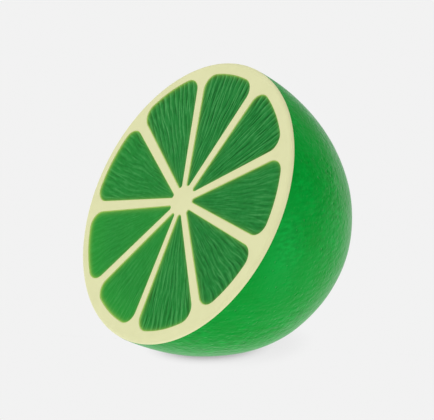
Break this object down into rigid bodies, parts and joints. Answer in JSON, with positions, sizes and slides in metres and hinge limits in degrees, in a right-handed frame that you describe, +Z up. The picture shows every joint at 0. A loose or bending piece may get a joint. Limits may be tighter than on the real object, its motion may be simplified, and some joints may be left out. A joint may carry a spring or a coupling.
{
  "type": "lime half",
  "caption": "Half a lime cut across the middle, standing tilted on a small flat spot so that its face of pith and green pulp segments shows; table display or prop fruit.",
  "frame": {"origin": "middle of the small flat spot that the half rests on", "axes": "+Z up, away from the surface it rests on; the cut face looks towards -Y and 30 degrees upwards, so the blossom end points towards +Y and down; +X is to the right of someone looking at the cut face"},
  "size_m": [0.052, 0.0441, 0.0496],
  "materials": {
    "rind": "satin saturated green skin with fine pits",
    "pith": "smooth matt pale cream-yellow",
    "pulp": "satin mid green with fine radial grooves"
  },
  "bodies": {
    "root": {"lime_half": "rind"}
  },
  "joints": []
}
